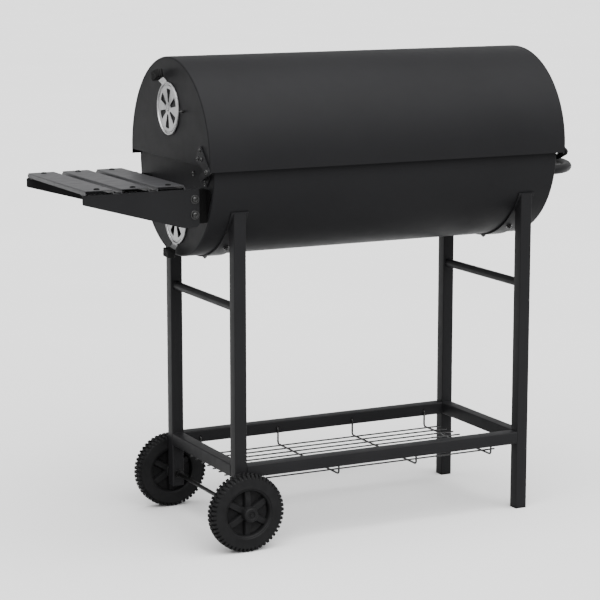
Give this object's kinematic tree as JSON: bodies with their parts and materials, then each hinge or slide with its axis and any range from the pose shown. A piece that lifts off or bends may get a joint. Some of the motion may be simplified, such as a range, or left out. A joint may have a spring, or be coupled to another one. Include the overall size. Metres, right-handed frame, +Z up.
{
  "type": "barrel charcoal grill",
  "caption": "Barrel charcoal grill: half-barrel bowl and hinged lid on a square-tube stand with wheels, slatted side shelf, push handle and a wire shelf below.",
  "frame": {"origin": "bottom centre of the whole object, on the floor", "axes": "+X along the barrel from the side shelf to the push handle, +Y from the hinge side to the cook's side, +Z up"},
  "size_m": [1.1263, 0.4556, 0.945],
  "materials": {
    "black_paint": "satin black powder coat",
    "matt_black": "matt black",
    "grate_enamel": "black enamel",
    "zinc_plate": "zinc plated",
    "blackened_steel": "blackened",
    "black_plastic": "satin black"
  },
  "bodies": {
    "stand": {"leg_rear_shelf_end": "black_paint", "leg_rear_handle_end": "black_paint", "leg_front_shelf_end": "black_paint", "leg_front_handle_end": "black_paint", "rail_rear": "black_paint", "rail_front": "black_paint", "rail_shelf_end": "black_paint", "rail_handle_end": "black_paint", "cross_tube_shelf_end": "black_paint", "cross_tube_handle_end": "black_paint", "cradle_strap_shelf_end": "black_paint", "cradle_strap_handle_end": "black_paint", "wire_shelf": "black_paint", "bowl_shell": "black_paint", "bowl_cap_shelf_end": "black_paint", "bowl_cap_handle_end": "black_paint", "hinge_bowl_leaf_shelf_end": "black_paint", "hinge_bowl_leaf_handle_end": "black_paint", "push_handle": "black_paint", "shelf_slat_outer": "black_paint", "shelf_slat_middle": "black_paint", "shelf_slat_inner": "black_paint", "shelf_bracket_rear": "black_paint", "shelf_bracket_front": "black_paint", "grate_ledge_shelf_end": "black_paint", "grate_ledge_handle_end": "black_paint", "shelf_angle_rear": "matt_black", "shelf_angle_front": "matt_black", "axle": "blackened_steel", "axle_washer_rear": "blackened_steel", "axle_washer_front": "blackened_steel", "hinge_pin_shelf_end": "blackened_steel", "hinge_pin_handle_end": "blackened_steel", "bracket_bolt_rear_1": "blackened_steel", "bracket_bolt_rear_2": "blackened_steel", "bracket_bolt_front_1": "blackened_steel", "bracket_bolt_front_2": "blackened_steel", "foot_plug_rear": "black_plastic", "foot_plug_front": "black_plastic", "hub_cap_rear": "black_plastic", "hub_cap_front": "black_plastic", "bowl_damper_rivet": "zinc_plate", "bowl_damper_stop": "zinc_plate"},
    "lid": {"lid_shell": "black_paint", "lid_cap_shelf_end": "black_paint", "lid_cap_handle_end": "black_paint", "lid_handle": "black_paint", "hinge_lid_leaf_shelf_end": "black_paint", "hinge_lid_leaf_handle_end": "black_paint", "lid_damper_rivet": "zinc_plate", "lid_damper_stop": "zinc_plate"},
    "wheel_rear": {"wheel_rear": "black_plastic"},
    "wheel_front": {"wheel_front": "black_plastic"},
    "lid_damper": {"lid_damper_disc": "zinc_plate", "lid_damper_grip": "black_plastic"},
    "bowl_damper": {"bowl_damper_disc": "zinc_plate", "bowl_damper_grip": "black_plastic"},
    "cooking_grate": {"cooking_grate": "grate_enamel"},
    "charcoal_grate": {"charcoal_grate": "grate_enamel"}
  },
  "joints": [
    {"name": "lid_hinge", "type": "hinge", "parent": "stand", "child": "lid", "pos_m": [0.06875, -0.2013, 0.741], "axis": [1, 0, 0], "range_deg": [0, 95]},
    {"name": "wheel_rear_spin", "type": "hinge", "parent": "stand", "child": "wheel_rear", "pos_m": [-0.25125, -0.2003, 0.077], "axis": [0, 1, 0], "continuous": true},
    {"name": "wheel_front_spin", "type": "hinge", "parent": "stand", "child": "wheel_front", "pos_m": [-0.25125, 0.1697, 0.077], "axis": [0, 1, 0], "continuous": true},
    {"name": "lid_damper_turn", "type": "hinge", "parent": "lid", "child": "lid_damper", "pos_m": [-0.32475, -0.0153, 0.845], "axis": [1, 0, 0], "range_deg": [-230, 90]},
    {"name": "bowl_damper_turn", "type": "hinge", "parent": "stand", "child": "bowl_damper", "pos_m": [-0.31125, -0.0153, 0.631], "axis": [1, 0, 0], "range_deg": [-74, 246]},
    {"name": "cooking_grate_lift", "type": "slide", "parent": "stand", "child": "cooking_grate", "axis": [0, 0, 1], "range_m": [0, 0.08]},
    {"name": "charcoal_grate_lift", "type": "slide", "parent": "stand", "child": "charcoal_grate", "axis": [0, 0, 1], "range_m": [0, 0.09]}
  ]
}
